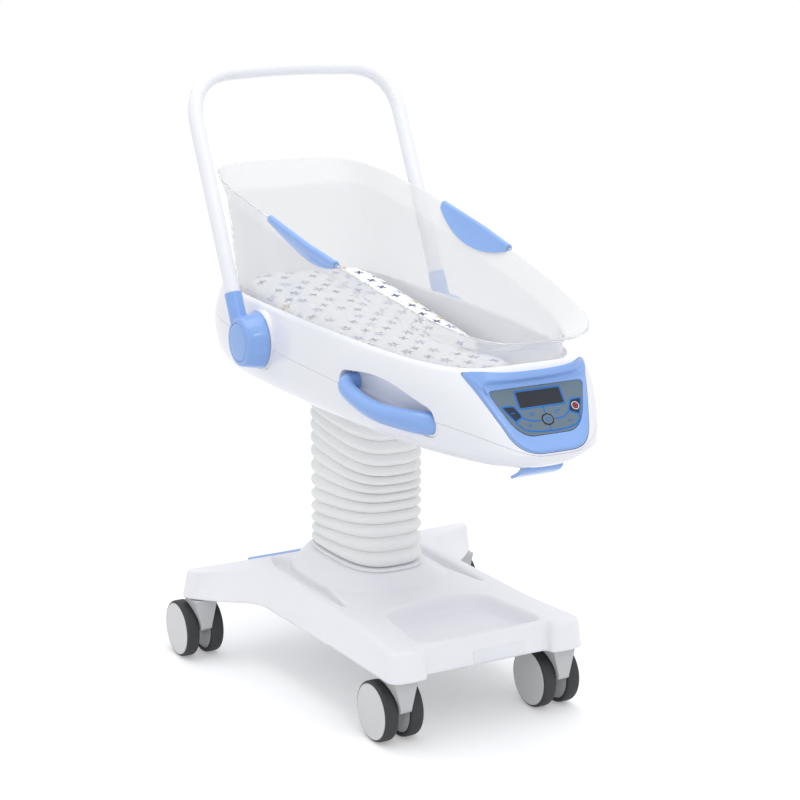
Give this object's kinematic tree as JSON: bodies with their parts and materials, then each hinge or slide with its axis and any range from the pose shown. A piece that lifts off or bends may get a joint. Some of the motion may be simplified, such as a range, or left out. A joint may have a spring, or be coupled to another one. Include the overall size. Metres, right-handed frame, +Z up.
{
  "type": "hospital bassinet",
  "caption": "Infant cot with a clear lift-out tub on a tilting, height-adjustable deck, ribbed column cover, push handle, control panel and caster base.",
  "frame": {"origin": "on the floor, under the middle of the bounding box", "axes": "+Z up, -Y towards the control panel at the foot end, +X to the right of someone facing the panel"},
  "size_m": [0.5972, 0.9548, 1.0247],
  "materials": {
    "white_plastic": "glossy moulded plastic",
    "base_plastic": "satin moulded plastic",
    "blue_plastic": "satin moulded plastic",
    "clear_acrylic": "clear polished acrylic",
    "bellows_rubber": "soft matt rubber",
    "cotton": "printed cotton",
    "panel_foil": "printed foil",
    "display_window": "dark gloss window",
    "key_foil": "printed foil",
    "steel": "plain steel",
    "lacquered_steel": "white lacquer",
    "caster_tyre": "grey rubber",
    "caster_disc": "grey plastic",
    "caster_fork": "grey plastic"
  },
  "bodies": {
    "base": {"chassis": "steel", "base_cover": "base_plastic", "column_outer": "lacquered_steel", "bellows_collar_lower": "white_plastic", "bellows": "bellows_rubber", "brake_pin": "steel"},
    "carriage": {"column_inner": "lacquered_steel", "tilt_head": "steel", "tilt_pin": "steel"},
    "deck": {"lower_shell": "white_plastic", "upper_shell": "white_plastic", "tilt_frame": "steel", "bellows_collar_upper": "white_plastic", "side_grip_left": "blue_plastic", "side_grip_right": "blue_plastic", "front_bezel": "blue_plastic", "control_panel": "panel_foil", "display_window": "display_window", "lever_pin": "steel"},
    "handle": {"handle_hub_left": "blue_plastic", "handle_hub_right": "blue_plastic", "handle_tube": "lacquered_steel"},
    "button_left": {"hub_button_left": "blue_plastic"},
    "button_right": {"hub_button_right": "blue_plastic"},
    "lever": {"tilt_lever": "blue_plastic"},
    "left_key": {"key_left": "key_foil"},
    "right_key": {"key_right": "key_foil"},
    "centre_key": {"key_centre": "key_foil"},
    "clear_tub": {"tub": "clear_acrylic", "tub_grip_left": "blue_plastic", "tub_grip_right": "blue_plastic"},
    "pad": {"mattress": "cotton"},
    "brake": {"brake_bar": "blue_plastic"},
    "swivel_front_left": {"caster_front_left_fork": "caster_fork", "caster_front_left_axle": "steel"},
    "wheel_front_left_left": {"caster_front_left_tyre_left": "caster_tyre", "caster_front_left_disc_left": "caster_disc"},
    "wheel_front_left_right": {"caster_front_left_tyre_right": "caster_tyre", "caster_front_left_disc_right": "caster_disc"},
    "swivel_front_right": {"caster_front_right_fork": "caster_fork", "caster_front_right_axle": "steel"},
    "wheel_front_right_left": {"caster_front_right_tyre_left": "caster_tyre", "caster_front_right_disc_left": "caster_disc"},
    "wheel_front_right_right": {"caster_front_right_tyre_right": "caster_tyre", "caster_front_right_disc_right": "caster_disc"},
    "swivel_rear_left": {"caster_rear_left_fork": "caster_fork", "caster_rear_left_axle": "steel"},
    "wheel_rear_left_left": {"caster_rear_left_tyre_left": "caster_tyre", "caster_rear_left_disc_left": "caster_disc"},
    "wheel_rear_left_right": {"caster_rear_left_tyre_right": "caster_tyre", "caster_rear_left_disc_right": "caster_disc"},
    "swivel_rear_right": {"caster_rear_right_fork": "caster_fork", "caster_rear_right_axle": "steel"},
    "wheel_rear_right_left": {"caster_rear_right_tyre_left": "caster_tyre", "caster_rear_right_disc_left": "caster_disc"},
    "wheel_rear_right_right": {"caster_rear_right_tyre_right": "caster_tyre", "caster_rear_right_disc_right": "caster_disc"}
  },
  "joints": [
    {"name": "lift", "type": "slide", "parent": "base", "child": "carriage", "axis": [0, 0, 1], "range_m": [-0.08, 0.11], "deforming": ["bellows"]},
    {"name": "tilt", "type": "hinge", "parent": "carriage", "child": "deck", "pos_m": [0, 0.12401, 0.505], "axis": [1, 0, 0], "range_deg": [-21, 3]},
    {"name": "handle_swing", "type": "hinge", "parent": "deck", "child": "handle", "pos_m": [0, 0.17601, 0.578], "axis": [1, 0, 0], "range_deg": [-55, 45]},
    {"name": "button_left_press", "type": "slide", "parent": "handle", "child": "button_left", "axis": [1, 0, 0], "range_m": [0, 0.0036], "stiffness_N_per_m": 900},
    {"name": "button_right_press", "type": "slide", "parent": "handle", "child": "button_right", "axis": [-1, 0, 0], "range_m": [0, 0.0036], "stiffness_N_per_m": 900},
    {"name": "lever_squeeze", "type": "hinge", "parent": "deck", "child": "lever", "pos_m": [0, -0.42299, 0.5], "axis": [1, 0, 0], "range_deg": [-18, 0], "stiffness_Nm_per_rad": 1.2, "springref_deg": 5.73},
    {"name": "tub_lift", "type": "slide", "parent": "deck", "child": "clear_tub", "axis": [0, 0, 1], "range_m": [0, 0.12]},
    {"name": "mattress_lift", "type": "slide", "parent": "clear_tub", "child": "pad", "axis": [0, 0, 1], "range_m": [0, 0.15]},
    {"name": "brake_tread", "type": "hinge", "parent": "base", "child": "brake", "pos_m": [0, 0.24101, 0.143], "axis": [1, 0, 0], "range_deg": [-10, 5]},
    {"name": "key_left_press", "type": "slide", "parent": "deck", "child": "left_key", "axis": [0, 0.7986, -0.6018], "range_m": [0, 0.0008], "stiffness_N_per_m": 1200},
    {"name": "key_right_press", "type": "slide", "parent": "deck", "child": "right_key", "axis": [0, 0.7986, -0.6018], "range_m": [0, 0.0008], "stiffness_N_per_m": 1200},
    {"name": "key_centre_press", "type": "slide", "parent": "deck", "child": "centre_key", "axis": [0, 0.7986, -0.6018], "range_m": [0, 0.0008], "stiffness_N_per_m": 1200},
    {"name": "front_left_swivel", "type": "hinge", "parent": "base", "child": "swivel_front_left", "pos_m": [-0.149, -0.26199, 0.12], "axis": [0, 0, 1], "continuous": true},
    {"name": "front_left_wheel_left", "type": "hinge", "parent": "swivel_front_left", "child": "wheel_front_left_left", "pos_m": [-0.149, -0.22899, 0.05], "axis": [1, 0, 0], "continuous": true},
    {"name": "front_left_wheel_right", "type": "hinge", "parent": "swivel_front_left", "child": "wheel_front_left_right", "pos_m": [-0.149, -0.22899, 0.05], "axis": [1, 0, 0], "continuous": true},
    {"name": "front_right_swivel", "type": "hinge", "parent": "base", "child": "swivel_front_right", "pos_m": [0.149, -0.26199, 0.12], "axis": [0, 0, 1], "continuous": true},
    {"name": "front_right_wheel_left", "type": "hinge", "parent": "swivel_front_right", "child": "wheel_front_right_left", "pos_m": [0.149, -0.22899, 0.05], "axis": [1, 0, 0], "continuous": true},
    {"name": "front_right_wheel_right", "type": "hinge", "parent": "swivel_front_right", "child": "wheel_front_right_right", "pos_m": [0.149, -0.22899, 0.05], "axis": [1, 0, 0], "continuous": true},
    {"name": "rear_left_swivel", "type": "hinge", "parent": "base", "child": "swivel_rear_left", "pos_m": [-0.263, 0.24401, 0.12], "axis": [0, 0, 1], "continuous": true},
    {"name": "rear_left_wheel_left", "type": "hinge", "parent": "swivel_rear_left", "child": "wheel_rear_left_left", "pos_m": [-0.263, 0.27701, 0.05], "axis": [1, 0, 0], "continuous": true},
    {"name": "rear_left_wheel_right", "type": "hinge", "parent": "swivel_rear_left", "child": "wheel_rear_left_right", "pos_m": [-0.263, 0.27701, 0.05], "axis": [1, 0, 0], "continuous": true},
    {"name": "rear_right_swivel", "type": "hinge", "parent": "base", "child": "swivel_rear_right", "pos_m": [0.263, 0.24401, 0.12], "axis": [0, 0, 1], "continuous": true},
    {"name": "rear_right_wheel_left", "type": "hinge", "parent": "swivel_rear_right", "child": "wheel_rear_right_left", "pos_m": [0.263, 0.27701, 0.05], "axis": [1, 0, 0], "continuous": true},
    {"name": "rear_right_wheel_right", "type": "hinge", "parent": "swivel_rear_right", "child": "wheel_rear_right_right", "pos_m": [0.263, 0.27701, 0.05], "axis": [1, 0, 0], "continuous": true}
  ]
}
